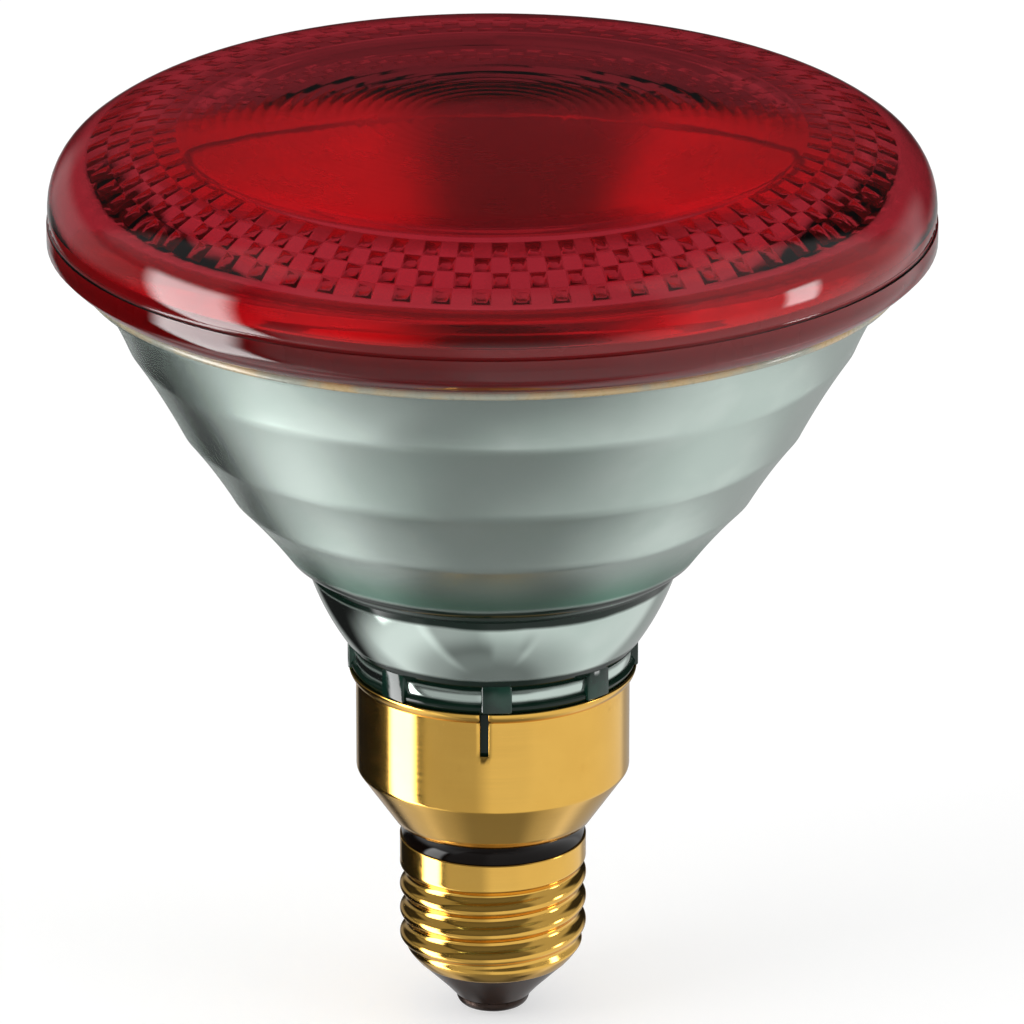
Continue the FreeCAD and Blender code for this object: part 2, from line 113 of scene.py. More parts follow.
def finishPiece(bm, name, node, materials, sharpAngle):
    for face in bm.faces:
        face.smooth = True
    mesh = bpy.data.meshes.new(name)
    bm.to_mesh(mesh)
    bm.free()
    mesh.set_sharp_from_angle(angle=math.radians(sharpAngle))
    for material in materials:
        mesh.materials.append(material)
    piece = bpy.data.objects.new(name, mesh)
    bpy.context.scene.collection.objects.link(piece)
    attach(piece, "root")
    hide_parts(node)
    return piece


def addWall(piece, thickness):
    wall = piece.modifiers.new("sheet", "SOLIDIFY")
    wall.thickness = thickness * mm
    wall.offset = -1


def addBevel(piece, width, segments, angle):
    bevel = piece.modifiers.new("edges", "BEVEL")
    bevel.width = width * mm
    bevel.segments = segments
    bevel.limit_method = "ANGLE"
    bevel.angle_limit = math.radians(angle)
    bevel.harden_normals = False


# Small helpers for node trees

def setInput(tree, socket, value):
    if isinstance(value, bpy.types.NodeSocket):
        tree.links.new(value, socket)
    else:
        socket.default_value = value


def addMath(tree, operation, first, second=0.0, clamp=False):
    node = tree.nodes.new("ShaderNodeMath")
    node.operation = operation
    node.use_clamp = clamp
    setInput(tree, node.inputs[0], first)
    setInput(tree, node.inputs[1], second)
    return node.outputs[0]


def addRange(tree, value, fromLow, fromHigh, toLow=0.0, toHigh=1.0, smooth=True):
    node = tree.nodes.new("ShaderNodeMapRange")
    node.interpolation_type = "SMOOTHSTEP" if smooth else "LINEAR"
    for socket, entry in zip(node.inputs, (value, fromLow, fromHigh, toLow, toHigh)):
        setInput(tree, socket, entry)
    return node.outputs[0]


def addColourMix(tree, factor, first, second):
    node = tree.nodes.new("ShaderNodeMix")
    node.data_type = "RGBA"
    setInput(tree, node.inputs[0], factor)
    for socket, colour in ((node.inputs[6], first), (node.inputs[7], second)):
        setInput(tree, socket, colour if isinstance(colour, bpy.types.NodeSocket) else (*colour, 1))
    return node.outputs[2]


def addNoise(tree, vector, scale, detail, roughness):
    node = tree.nodes.new("ShaderNodeTexNoise")
    setInput(tree, node.inputs["Vector"], vector)
    setInput(tree, node.inputs["Scale"], scale)
    setInput(tree, node.inputs["Detail"], detail)
    setInput(tree, node.inputs["Roughness"], roughness)
    return node.outputs["Fac"]


def addMapping(tree, vector, scale):
    node = tree.nodes.new("ShaderNodeMapping")
    setInput(tree, node.inputs["Vector"], vector)
    setInput(tree, node.inputs["Scale"], scale)
    return node.outputs["Vector"]


def newGroup(name, inputs, outputs):
    group = bpy.data.node_groups.new(name, "ShaderNodeTree")
    for label, kind, value in inputs:
        socket = group.interface.new_socket(name=label, in_out="INPUT", socket_type="NodeSocket" + kind)
        if kind == "Float":
            socket.default_value = value
    for label, kind in outputs:
        group.interface.new_socket(name=label, in_out="OUTPUT", socket_type="NodeSocket" + kind)
    return group, group.nodes.new("NodeGroupInput").outputs, group.nodes.new("NodeGroupOutput").inputs


def placeGroup(tree, group, values):
    node = tree.nodes.new("ShaderNodeGroup")
    node.node_tree = group
    for label, value in values.items():
        setInput(tree, node.inputs[label], value)
    return node.outputs


# Effects that several materials share

def makeSpeckleGroup():
    # fine uneven grain with soft clouds over it
    group, ins, outs = newGroup(
        "speckle",
        [("Vector", "Vector", None), ("Grain", "Float", 2000.0), ("Cloud", "Float", 60.0)],
        [("Grain", "Float"), ("Cloud", "Float")],
    )
    grain = addNoise(group, ins["Vector"], ins["Grain"], 3.0, 0.6)
    cloud = addNoise(group, ins["Vector"], ins["Cloud"], 3.0, 0.5)
    setInput(group, outs["Grain"], addRange(group, grain, 0.3, 0.7, smooth=False))
    setInput(group, outs["Cloud"], addRange(group, cloud, 0.35, 0.65))
    return group


def makeTurnedGroup():
    # the fine rings that a lathe, a spinning tool or a drawing die leaves round a turned piece
    group, ins, outs = newGroup(
        "turnedLines",
        [("Vector", "Vector", None), ("Lines", "Float", 4000.0)],
        [("Lines", "Float")],
    )
    flat = addMapping(group, ins["Vector"], (0.02, 0.02, 1.0))
    lines = addNoise(group, flat, ins["Lines"], 2.0, 0.7)
    setInput(group, outs["Lines"], addRange(group, lines, 0.3, 0.7, smooth=False))
    return group


def makeTarnishGroup():
    # blotches of dulled metal, more of them with a higher amount
    group, ins, outs = newGroup(
        "tarnish",
        [("Vector", "Vector", None), ("Scale", "Float", 180.0), ("Amount", "Float", 0.5)],
        [("Mask", "Float")],
    )
    blotch = addNoise(group, ins["Vector"], ins["Scale"], 5.0, 0.65)
    edge = addMath(group, "SUBTRACT", 0.75, addMath(group, "MULTIPLY", ins["Amount"], 0.4))
    setInput(group, outs["Mask"], addRange(group, blotch, edge, addMath(group, "ADD", edge, 0.15)))
    return group


speckle = makeSpeckleGroup()
turnedLines = makeTurnedGroup()
tarnish = makeTarnishGroup()


def newMaterial(name):
    material = bpy.data.materials.new(name)
    material.use_nodes = True
    tree = material.node_tree
    shader = tree.nodes["Principled BSDF"]
    place = tree.nodes.new("ShaderNodeTexCoord").outputs["Object"]
    return material, tree, shader, place


def setColour(tree, shader, mask, first, second):
    tree.links.new(addColourMix(tree, mask, first, second), shader.inputs["Base Color"])


def setRoughness(tree, shader, mask, low, high):
    setInput(tree, shader.inputs["Roughness"], addRange(tree, mask, 0, 1, low, high))


def addBump(tree, shader, height, strength, distance):
    bump = tree.nodes.new("ShaderNodeBump")
    bump.inputs["Strength"].default_value = strength
    bump.inputs["Distance"].default_value = distance * mm
    setInput(tree, bump.inputs["Height"], height)
    tree.links.new(bump.outputs["Normal"], shader.inputs["Normal"])


def heightOf(tree, place):
    node = tree.nodes.new("ShaderNodeSeparateXYZ")
    tree.links.new(place, node.inputs[0])
    return addMath(tree, "DIVIDE", node.outputs["Z"], mm)


rubyLook = {
    "rubyGlass": {"colour": (0.78, 0.045, 0.07), "deep": (0.70, 0.032, 0.055), "clarity": 1.0},
    # the stud glass is painted darker and less clear: painted shade standing in for the dark squares the
    # studs show
    "rubyStudPaintedShade": {"colour": (0.42, 0.023, 0.036), "deep": (0.35, 0.017, 0.028), "clarity": 0.72},
    "roughness": 0.03, "index": 1.5,
}


def makeRubyGlass(name):
    look = rubyLook[name]
    material, tree, shader, place = newMaterial(name)
    marks = placeGroup(tree, speckle, {"Vector": place, "Grain": 900.0, "Cloud": 45.0})
    setColour(tree, shader, marks["Cloud"], look["colour"], look["deep"])
    shader.inputs["Roughness"].default_value = rubyLook["roughness"]
    shader.inputs["IOR"].default_value = rubyLook["index"]
    shader.inputs["Transmission Weight"].default_value = look["clarity"]
    addBump(tree, shader, marks["Cloud"], 0.15, 0.15)
    return material


coatLook = {"silver": (0.90, 0.90, 0.88), "ruby": (0.80, 0.12, 0.14), "roughness": (0.22, 0.3)}


def makeMirrorCoat():
    look = coatLook
    material, tree, shader, place = newMaterial("mirrorCoat")
    marks = placeGroup(tree, speckle, {"Vector": place, "Grain": 1500.0, "Cloud": 90.0})
    setRoughness(tree, shader, marks["Cloud"], *look["roughness"])
    shader.inputs["Base Color"].default_value = (*look["silver"], 1)
    shader.inputs["Metallic"].default_value = 1.0
    addBump(tree, shader, marks["Grain"], 0.2, 0.03)
    return material


def makeWallCoat():
    # the coat on the lens's wall: a mirror inside the bulb, deep red where it is seen through the glass
    look = coatLook
    material, tree, shader, place = newMaterial("wallCoat")
    marks = placeGroup(tree, speckle, {"Vector": place, "Grain": 1500.0, "Cloud": 90.0})
    behind = tree.nodes.new("ShaderNodeNewGeometry").outputs["Backfacing"]
    setColour(tree, shader, behind, look["silver"], look["ruby"])
    setInput(tree, shader.inputs["Metallic"], addMath(tree, "SUBTRACT", 1.0, behind))
    setRoughness(tree, shader, marks["Cloud"], *look["roughness"])
    addBump(tree, shader, marks["Grain"], 0.1, 0.02)
    return material


silveredLook = {  # heights in mm above the skirt
    "silver": (0.575, 0.67, 0.62), "green": (0.10, 0.25, 0.18), "paintedDark": (0.004, 0.016, 0.010),
    "bowlRoughness": 0.23, "bowlUneven": 0.04, "neckRoughness": 0.07, "bowlStart": 18.2,
    # the listed bands are painted near black with no mirror: painted dark reflections of the dark studio,
    # not uncoated glass
    "paintedDarkBands": ((-9, 1.8), (3.2, 5.6), (14.6, 18.5)), "bandSoft": 0.35,
    "greenFoot": (18.5, 27.0, 0.85, 0.0), "greenClouds": 0.12, "gloss": 0.25,
}


def makeSilveredGlass(skirtTop):
    # a mirror coat seen through slightly green glass: satin on the bowl, clear on the neck,
    # and bands painted near black with no mirror, as painted dark reflections
    look = silveredLook
    material, tree, shader, place = newMaterial("silveredGlass")
    marks = placeGroup(tree, speckle, {"Vector": place, "Grain": 3600.0, "Cloud": 70.0})
    height = addMath(tree, "SUBTRACT", heightOf(tree, place), skirtTop)
    height = addMath(tree, "ADD", height, addMath(tree, "MULTIPLY", marks["Cloud"], 0.25))
    onBowl = addRange(tree, height, look["bowlStart"], look["bowlStart"] + 1.0)
    # painted dark reflection: bands of the neck and bead are painted near black and lose their mirror
    paintedDark, soft = 0.0, look["bandSoft"]
    for low, high in look["paintedDarkBands"]:
        start = addRange(tree, height, low - soft, low + soft)
        end = addRange(tree, height, high - soft, high + soft, 1.0, 0.0)
        paintedDark = addMath(tree, "ADD", paintedDark, addMath(tree, "MULTIPLY", start, end), clamp=True)
    mirrorShare = addMath(tree, "SUBTRACT", 1.0, paintedDark)
    foot = addMath(tree, "MULTIPLY", addRange(tree, height, *look["greenFoot"]), onBowl)
    clouds = addMath(tree, "MULTIPLY", marks["Cloud"], look["greenClouds"])
    tint = addMath(tree, "ADD", foot, clouds, clamp=True)
    silver = addColourMix(tree, tint, look["silver"], look["green"])
    setColour(tree, shader, paintedDark, silver, look["paintedDark"])
    satin, clear = look["bowlRoughness"], look["neckRoughness"]
    satin = addRange(tree, marks["Cloud"], 0, 1, satin, satin + look["bowlUneven"])
    rise = addMath(tree, "MULTIPLY", onBowl, addMath(tree, "SUBTRACT", satin, clear))
    setInput(tree, shader.inputs["Roughness"], addMath(tree, "ADD", clear, rise))
    setInput(tree, shader.inputs["Metallic"], mirrorShare)
    shader.inputs["Specular IOR Level"].default_value = look["gloss"]
    addBump(tree, shader, addMath(tree, "MULTIPLY", marks["Grain"], onBowl), 0.04, 0.004)
    return material


def makeGreenGlass():
    # green glass painted near black: the green is the glass's own tint, the darkness a painted dark
    # reflection
    look = {"colour": (0.010, 0.045, 0.030), "deep": (0.004, 0.020, 0.013), "roughness": 0.07}
    material, tree, shader, place = newMaterial("greenGlassPaintedDark")
    marks = placeGroup(tree, speckle, {"Vector": place, "Grain": 900.0, "Cloud": 220.0})
    setColour(tree, shader, marks["Cloud"], look["colour"], look["deep"])
    shader.inputs["Roughness"].default_value = look["roughness"]
    addBump(tree, shader, marks["Cloud"], 0.2, 0.1)
    return material


def makeBrass():
    look = {"bright": (0.83, 0.495, 0.105), "dull": (0.64, 0.33, 0.05), "roughness": 0.09}
    material, tree, shader, place = newMaterial("brassSheet")
    lines = placeGroup(tree, turnedLines, {"Vector": place, "Lines": 3500.0})["Lines"]
    dull = placeGroup(tree, tarnish, {"Vector": place, "Scale": 160.0, "Amount": 0.35})["Mask"]
    marks = placeGroup(tree, speckle, {"Vector": place, "Grain": 2600.0, "Cloud": 120.0})
    clouds = addMath(tree, "MULTIPLY", marks["Cloud"], 0.15)
    shade = addMath(tree, "ADD", addMath(tree, "MULTIPLY", dull, 0.5), clouds)
    setColour(tree, shader, shade, look["bright"], look["dull"])
    wear = addMath(tree, "ADD", look["roughness"], addMath(tree, "MULTIPLY", lines, 0.06))
    wear = addMath(tree, "ADD", wear, addMath(tree, "MULTIPLY", dull, 0.12))
    setInput(tree, shader.inputs["Roughness"], wear)
    shader.inputs["Metallic"].default_value = 1.0
    addBump(tree, shader, lines, 0.12, 0.01)
    return material


darkLook = {
    # the throat ring is painted near black with low gloss: a painted dark reflection of the brass throat
    "ringPaintedDark": {"colour": (0.003, 0.0015, 0.001), "roughness": 0.03, "gloss": 0.14},
    "blackGlass": {"colour": (0.026, 0.011, 0.006), "roughness": 0.06, "gloss": 0.25},
}


def makeDarkGloss(name):
    look = darkLook[name]
    material, tree, shader, place = newMaterial(name)
    marks = placeGroup(tree, speckle, {"Vector": place, "Grain": 3000.0, "Cloud": 150.0})
    lift = tuple(channel * 1.5 for channel in look["colour"])
    setColour(tree, shader, marks["Cloud"], look["colour"], lift)
    setRoughness(tree, shader, marks["Grain"], look["roughness"], look["roughness"] + 0.04)
    shader.inputs["Specular IOR Level"].default_value = look["gloss"]
    addBump(tree, shader, marks["Cloud"], 0.1, 0.03)
    return material


metalLook = {  # bright and dull colour, roughness, whether drawn or turned lines show
    "softSolder": ((0.50, 0.49, 0.47), (0.28, 0.27, 0.26), 0.35, False),
    "ferruleSteel": ((0.62, 0.61, 0.58), (0.42, 0.40, 0.38), 0.2, True),
    "brazeMetal": ((0.74, 0.58, 0.36), (0.48, 0.34, 0.2), 0.3, False),
    "nickelWire": ((0.68, 0.66, 0.61), (0.5, 0.48, 0.44), 0.22, True),
    "copperWire": ((0.80, 0.45, 0.30), (0.5, 0.26, 0.17), 0.25, True),
    "tungsten": ((0.38, 0.37, 0.36), (0.2, 0.2, 0.2), 0.35, False),
    # the end contact is painted near black: a painted dark reflection and shade under the tip, in place of
    # its grey metal
    "contactPaintedDark": ((0.05, 0.035, 0.03), (0.018, 0.01, 0.007), 0.25, True),
}


def makeMetal(name):
    bright, dull, roughness, lined = metalLook[name]
    material, tree, shader, place = newMaterial(name)
    lines = placeGroup(tree, turnedLines, {"Vector": place, "Lines": 5000.0})["Lines"]
    marks = placeGroup(tree, speckle, {"Vector": place, "Grain": 2500.0, "Cloud": 260.0})
    spots = placeGroup(tree, tarnish, {"Vector": place, "Scale": 420.0, "Amount": 0.5})["Mask"]
    shade = addMath(tree, "MAXIMUM", spots, addMath(tree, "MULTIPLY", marks["Cloud"], 0.4))
    setColour(tree, shader, shade, bright, dull)
    setRoughness(tree, shader, marks["Grain"], roughness, roughness + 0.15)
    shader.inputs["Metallic"].default_value = 1.0
    addBump(tree, shader, lines if lined else marks["Grain"], 0.2, 0.02)
    return material


def makeSealGlass():
    look = {"tan": (0.62, 0.45, 0.22), "grey": (0.40, 0.42, 0.34), "roughness": (0.22, 0.4), "coat": 0.6}
    material, tree, shader, place = newMaterial("sealGlass")
    marks = placeGroup(tree, speckle, {"Vector": place, "Grain": 1200.0, "Cloud": 140.0})
    setColour(tree, shader, marks["Cloud"], look["tan"], look["grey"])
    setRoughness(tree, shader, marks["Grain"], *look["roughness"])
    shader.inputs["Coat Weight"].default_value = look["coat"]
    addBump(tree, shader, marks["Grain"], 0.3, 0.05)
    return material


def makeClearGlass():
    look = {"colour": (0.86, 0.93, 0.90), "deep": (0.80, 0.90, 0.86), "roughness": 0.03}
    material, tree, shader, place = newMaterial("clearGlass")
    marks = placeGroup(tree, speckle, {"Vector": place, "Grain": 900.0, "Cloud": 160.0})
    setColour(tree, shader, marks["Cloud"], look["colour"], look["deep"])
    shader.inputs["Roughness"].default_value = look["roughness"]
    shader.inputs["Transmission Weight"].default_value = 1.0
    addBump(tree, shader, marks["Cloud"], 0.1, 0.1)
    return material


# Front lens: pressed ruby glass with ripple rings and studs on its back

lensForm = {
    "footRadius": 57.3, "flangeRadius": 60.65, "footRise": 2.85, "footBulge": 0.19, "flangeHeight": 2.7,
    "notchDepth": 0.2, "notchHeight": 0.8, "shoulderInset": 0.15, "shoulderRadius": 9.9,
    "shoulderRise": 1.3, "shoulderEnd": 38.0, "browRadius": 23.2, "faceSlope": 3.5, "thickness": 6.0,
    "discRadius": 8.6, "fieldRadius": 42.5, "rings": 20, "ringDepth": 0.01, "domeRadius": 250.0,
    "coneSlope": 14.0, "coneRadius": 51.9, "wallHeight": 6.2, "wallHollow": 0.5,
    "studRows": 4, "studsPerRow": 64, "studSteps": ((0.1, 0.0), (0.32, 0.12), (0.26, 0.03)),
}


def mirrorRadius(height):
    # one paraboloid mirror runs up the bowl and the lens's wall
    return math.sqrt(4 * bowlForm["mirrorFocal"] * (height - bowlForm["mirrorVertex"]))


def lensOutside():
    form = lensForm
    bottom = lowOf("front_lens")
    flangeBottom = bottom + form["footRise"]
    flangeTop = flangeBottom + form["flangeHeight"]
    shoulderStart = flangeTop + form["notchHeight"]
    edge = form["flangeRadius"] - form["shoulderInset"]
    outline = [(form["footRadius"], bottom)]
    arcTo(outline, (form["flangeRadius"], flangeBottom), form["footBulge"], 5)
    lineTo(outline, (form["flangeRadius"], flangeTop), 2)
    arcTo(outline, (edge, shoulderStart), -form["notchDepth"], 6)
    centre = (edge - form["shoulderRadius"], shoulderStart + form["shoulderRise"])
    roundAbout(outline, centre, form["shoulderRadius"], 90, form["shoulderEnd"], 14)
    join = math.radians(form["shoulderEnd"])
    step = form["browRadius"] - form["shoulderRadius"]
    brow = (centre[0] - step * math.sin(join), centre[1] - step * math.cos(join))
    outline.pop()
    roundAbout(outline, brow, form["browRadius"], form["shoulderEnd"], form["faceSlope"], 14)
    faceEdge = outline.pop()
    faceRadius = faceEdge[0] / math.sin(math.radians(form["faceSlope"]))
    faceCentre = faceEdge[1] - faceRadius * math.cos(math.radians(form["faceSlope"]))
    roundAbout(outline, (0, faceCentre), faceRadius, form["faceSlope"], 0, 16)
    return outline


def lensInside(apex):
    # from the middle of the back outwards: plain disc, ripple rings, stud cone and side wall
    form = lensForm
    dome = form["domeRadius"]
    back = apex - form["thickness"]

    def domeHeight(radius):
        return back - dome + math.sqrt(dome ** 2 - radius ** 2)

    outline = [(0, back)]
    for i in range(1, 4):
        radius = form["discRadius"] * i / 3
        outline.append((radius, domeHeight(radius)))
    step = (form["fieldRadius"] - form["discRadius"]) / form["rings"]
    for i in range(form["rings"]):
        radius = form["discRadius"] + step * (i + 1)
        arcTo(outline, (radius, domeHeight(radius)), form["ringDepth"], 6)
    drop = (form["coneRadius"] - form["fieldRadius"]) * math.tan(math.radians(form["coneSlope"]))
    foot = (form["coneRadius"], domeHeight(form["fieldRadius"]) - drop)
    lineTo(outline, foot, form["studRows"])
    low, rise = lowOf("front_lens"), form["wallHeight"]
    arcTo(outline, (mirrorRadius(low + rise), low + rise), -form["wallHollow"], 6)
    for i in range(5, -1, -1):
        height = low + rise * i / 6
        outline.append((mirrorRadius(height), height))
    return outline


def pressStuds(bm):
    # every other cell of the cone's back is raised, row by row, like a chessboard
    form = lensForm
    cell = math.pi / form["studsPerRow"]
    band = (form["coneRadius"] - form["fieldRadius"]) / form["studRows"]
    studs = []
    for face in bm.faces:
        middle = face.calc_center_median() / mm
        radius = math.hypot(middle.x, middle.y)
        if face.normal.z > -0.5 or not form["fieldRadius"] < radius < form["coneRadius"]:
            continue
        row = int((radius - form["fieldRadius"]) / band)
        column = int((math.atan2(middle.y, middle.x) % (2 * math.pi)) / cell)
        if (row + column) % 2 == 0:
            studs.append(face)
    # studs and their sides take the darker stud glass, which is painted shade
    for inset, height in form["studSteps"]:
        sides = bmesh.ops.inset_individual(
            bm, faces=studs, thickness=inset * mm, depth=height * mm, use_even_offset=True
        )["faces"]
        for face in sides:
            face.material_index = 1
    for face in studs:
        face.material_index = 1
    print("studs", len(studs))


def makeLens(glass, studGlass, wallCoat):
    # the mirror coat runs on up the inside of the lens's wall
    outside = lensOutside()
    inside = lensInside(outside[-1][1])
    bm = spinOutline(inside + outside, 2 * lensForm["studsPerRow"])
    wallTop = lowOf("front_lens") + lensForm["wallHeight"]
    for face in bm.faces:
        middle = face.calc_center_median() / mm
        if middle.z < wallTop and face.normal.x * middle.x + face.normal.y * middle.y < 0:
            face.material_index = 2
    pressStuds(bm)
    return finishPiece(bm, "lens", "front_lens", [glass, studGlass, wallCoat], 50)


# Seal between lens and reflector

sealForm = {"innerRadius": 52.4, "outerRadius": 56.9, "round": 0.35}


def makeSeal(glass, mirror):
    form = sealForm
    low, high = lowOf("rim_seal"), highOf("rim_seal")
    outline = [(form["innerRadius"], low), (form["outerRadius"] - form["round"], low)]
    arcTo(outline, (form["outerRadius"] - form["round"], high), form["round"], 6)
    outline.append((form["innerRadius"], high))
    bm = spinOutline(outline, 160, closed=True)
    for face in bm.faces:
        if face.normal.dot(face.calc_center_median().xy.to_3d()) < -0.01 * mm:
            face.material_index = 1
    return finishPiece(bm, "seal", "rim_seal", [glass, mirror], 60)


# Reflector: pressed glass bowl in steps, silvered within, with its neck, bead and lugs

bowlForm = {
    "plugRadius": 18.35, "plugRound": 2.4,
    "beadOverlap": 0.5, "beadUndercut": 0.55, "beadRadius": 19.8, "beadHeight": 1.9, "beadBulge": 0.25,
    "beadEase": 0.4, "easeBulge": 0.08, "grooveRadius": 19.25, "grooveHeight": 1.8, "grooveFlare": 0.1,
    "neckTopRadius": 25.75, "neckHeight": 12.4, "neckBulge": 0.65, "shelfRadius": 28.4, "shelfHeight": 2.1,
    "focal": 13.6, "bands": (9.3, 9.8, 12.2, 8.6), "bandHollow": 0.23, "rimRadius": 56.5, "rimDraft": 0.3,
    "mirrorFocal": 12.8, "mirrorVertex": 57.4, "mirrorSteps": 32,
    "wellMouth": 16.5, "wellFloorRadius": 13.2, "floorThickness": 5.4, "boreRadius": 1.2,
    "lugs": 8, "lugWidth": 4.2, "lugHeight": 5.6, "lugPoint": 1.6, "lugRadius": 20.1, "lugAngle": 271.7,
    "lugBevel": 0.35, "lugLift": 0.15, "lugSink": 1.5,
}


def bowlOutline():
    form = bowlForm
    floor = lowOf("reflector")
    rimTop = highOf("reflector")
    beadBottom = highOf("skirt") - form["beadOverlap"]
    beadTop = beadBottom + form["beadHeight"]
    neckBottom = beadTop + form["grooveHeight"]
    neckTop = neckBottom + form["neckHeight"]
    shelf = neckTop + form["shelfHeight"]
    vertex = shelf - form["shelfRadius"] ** 2 / (4 * form["focal"])
    outline = [(form["boreRadius"], floor), (form["plugRadius"] - form["plugRound"], floor)]
    arcTo(outline, (form["plugRadius"], floor + form["plugRound"]), form["plugRound"] * quarterBulge, 6)
    lineTo(outline, (form["plugRadius"], beadBottom), 2)
    lineTo(outline, (form["grooveRadius"] - form["beadUndercut"], beadBottom))
    arcTo(outline, (form["beadRadius"], beadTop - form["beadEase"]), form["beadBulge"], 6)
    arcTo(outline, (form["grooveRadius"], beadTop), form["easeBulge"], 3)
    arcTo(outline, (form["grooveRadius"] + form["grooveFlare"], neckBottom), form["grooveFlare"], 6)
    arcTo(outline, (form["neckTopRadius"], neckTop), form["neckBulge"], 16)
    lineTo(outline, (form["shelfRadius"], shelf), 3)
    height = shelf
    for band in form["bands"]:
        height += band
        radius = math.sqrt(4 * form["focal"] * (height - vertex))
        arcTo(outline, (radius, height), -form["bandHollow"], 14)
    lineTo(outline, (form["rimRadius"] - form["rimDraft"], (height + rimTop) / 2))
    lineTo(outline, (form["rimRadius"], rimTop))
    mouth = mirrorRadius(rimTop)
    for i in range(form["mirrorSteps"] + 1):
        radius = mouth + (form["wellMouth"] - mouth) * i / form["mirrorSteps"]
        outline.append((radius, form["mirrorVertex"] + radius ** 2 / (4 * form["mirrorFocal"])))
    lineTo(outline, (form["wellFloorRadius"], floor + form["floorThickness"]), 2)
    lineTo(outline, (form["boreRadius"], floor + form["floorThickness"]), 3)
    return outline


def addLug(bm, index, foot):
    # an arrowhead pressed over the groove, its edges rounded
    form = bowlForm
    half, top = form["lugWidth"] / 2, foot + form["lugHeight"]
    neck = top - form["lugPoint"]
    inner = form["grooveRadius"] - form["lugSink"]
    corners = [(-half, foot), (half, foot), (half, neck), (0, top), (-half, neck)]
    verts = [bm.verts.new((inner * mm, y * mm, z * mm)) for y, z in corners]
    base = bm.faces.new(verts)
    grown = bmesh.ops.extrude_face_region(bm, geom=[base])["geom"]
    front = [item for item in grown if isinstance(item, bmesh.types.BMVert)]
    bmesh.ops.translate(bm, verts=front, vec=((form["lugRadius"] - inner) * mm, 0, 0))
    sides = {face for vert in verts + front for face in vert.link_faces}
    bmesh.ops.recalc_face_normals(bm, faces=list(sides))
    edges = [edge for edge in bm.edges if edge.verts[0] in front or edge.verts[1] in front]
    rounded = bmesh.ops.bevel(
        bm, geom=edges, offset=form["lugBevel"] * mm, segments=3, profile=0.5, affect="EDGES", material=-1
    )["faces"]
    island, more = set(), {vert for face in rounded for vert in face.verts}
    while more:
        island |= more
        more = {end for vert in island for edge in vert.link_edges for end in edge.verts} - island
    angle = math.radians(form["lugAngle"] + 360 * index / form["lugs"])
    bmesh.ops.rotate(bm, verts=list(island), cent=(0, 0, 0), matrix=Matrix.Rotation(angle, 3, "Z"))


def makeReflector(silvered, mirror, green):
    form = bowlForm
    bm = spinOutline(bowlOutline(), 160, closed=True)
    floor, lugFoot = lowOf("reflector"), highOf("skirt") + form["lugLift"]
    for face in bm.faces:
        middle = face.calc_center_median() / mm
        radius = math.hypot(middle.x, middle.y)
        inward = face.normal.x * middle.x + face.normal.y * middle.y < -0.01 * radius
        level = face.normal.z > 0.9 and radius < form["wellMouth"]
        if (inward or level) and middle.z > floor + 1:
            face.material_index = 1
    count = len(bm.faces)
    for index in range(form["lugs"]):
        addLug(bm, index, lugFoot)
    # the lugs take the near-black green glass, a painted dark reflection
    bm.faces.ensure_lookup_table()
    for face in bm.faces[count:]:
        face.material_index = 2
    return finishPiece(bm, "reflector", "reflector", [silvered, mirror, green], 26)


# Brass skirt: one drawn cup with a slot in its lip

skirtForm = {
    "sheet": 0.4, "footRadius": 13.8, "radius": 19.0, "coneHeight": 7.5, "cornerRound": 1.2,
    "lipHeight": 1.6, "lipRadius": 19.95, "lipFlare": 0.18, "slotDepth": 6.5, "slotAngle": 266.6,
    "slotSteps": 2, "steps": 200, "edge": 0.08,
}


def makeSkirt(brass):
    form = skirtForm
    foot, top = lowOf("skirt"), highOf("skirt")
    corner = foot + form["coneHeight"]
    slope = math.atan2(form["radius"] - form["footRadius"], form["coneHeight"])
    reach = form["cornerRound"] * math.tan(slope / 2)
    outline = [(form["footRadius"], foot)]
    lineTo(outline, (form["radius"] - reach * math.sin(slope), corner - reach * math.cos(slope)), 6)
    outline.pop()
    centre = (form["radius"] - form["cornerRound"], corner + reach)
    roundAbout(outline, centre, form["cornerRound"], 90 + math.degrees(slope), 90, 6)
    slotFoot = top - form["slotDepth"]
    lineTo(outline, (form["radius"], slotFoot), 6)
    lineTo(outline, (form["radius"], top - form["lipHeight"]), 3)
    arcTo(outline, (form["lipRadius"], top), form["lipFlare"], 8)
    halfSlot = 180 / form["steps"] * form["slotSteps"]
    bm = spinOutline(outline, form["steps"], startAngle=form["slotAngle"] - halfSlot)
    gone = []
    for face in bm.faces:
        middle = face.calc_center_median() / mm
        away = (math.degrees(math.atan2(middle.y, middle.x)) - form["slotAngle"] + 180) % 360 - 180
        if middle.z > slotFoot and abs(away) < halfSlot:
            gone.append(face)
    bmesh.ops.delete(bm, geom=gone, context="FACES")
    turnOutward(bm)
    piece = finishPiece(bm, "skirtCup", "skirt", [brass], 40)
    addWall(piece, form["sheet"])
    addBevel(piece, form["edge"], 2, 50)
    return piece


# Throat ring, screw shell, insulator and contact

ringForm = {
    "footRadius": 12.8, "headRadius": 13.65, "hollow": 0.28, "bore": 10.4, "spigot": 12.55, "down": 1.2,
    "headStep": 0.55, "up": 1.0, "edge": 0.08,
}


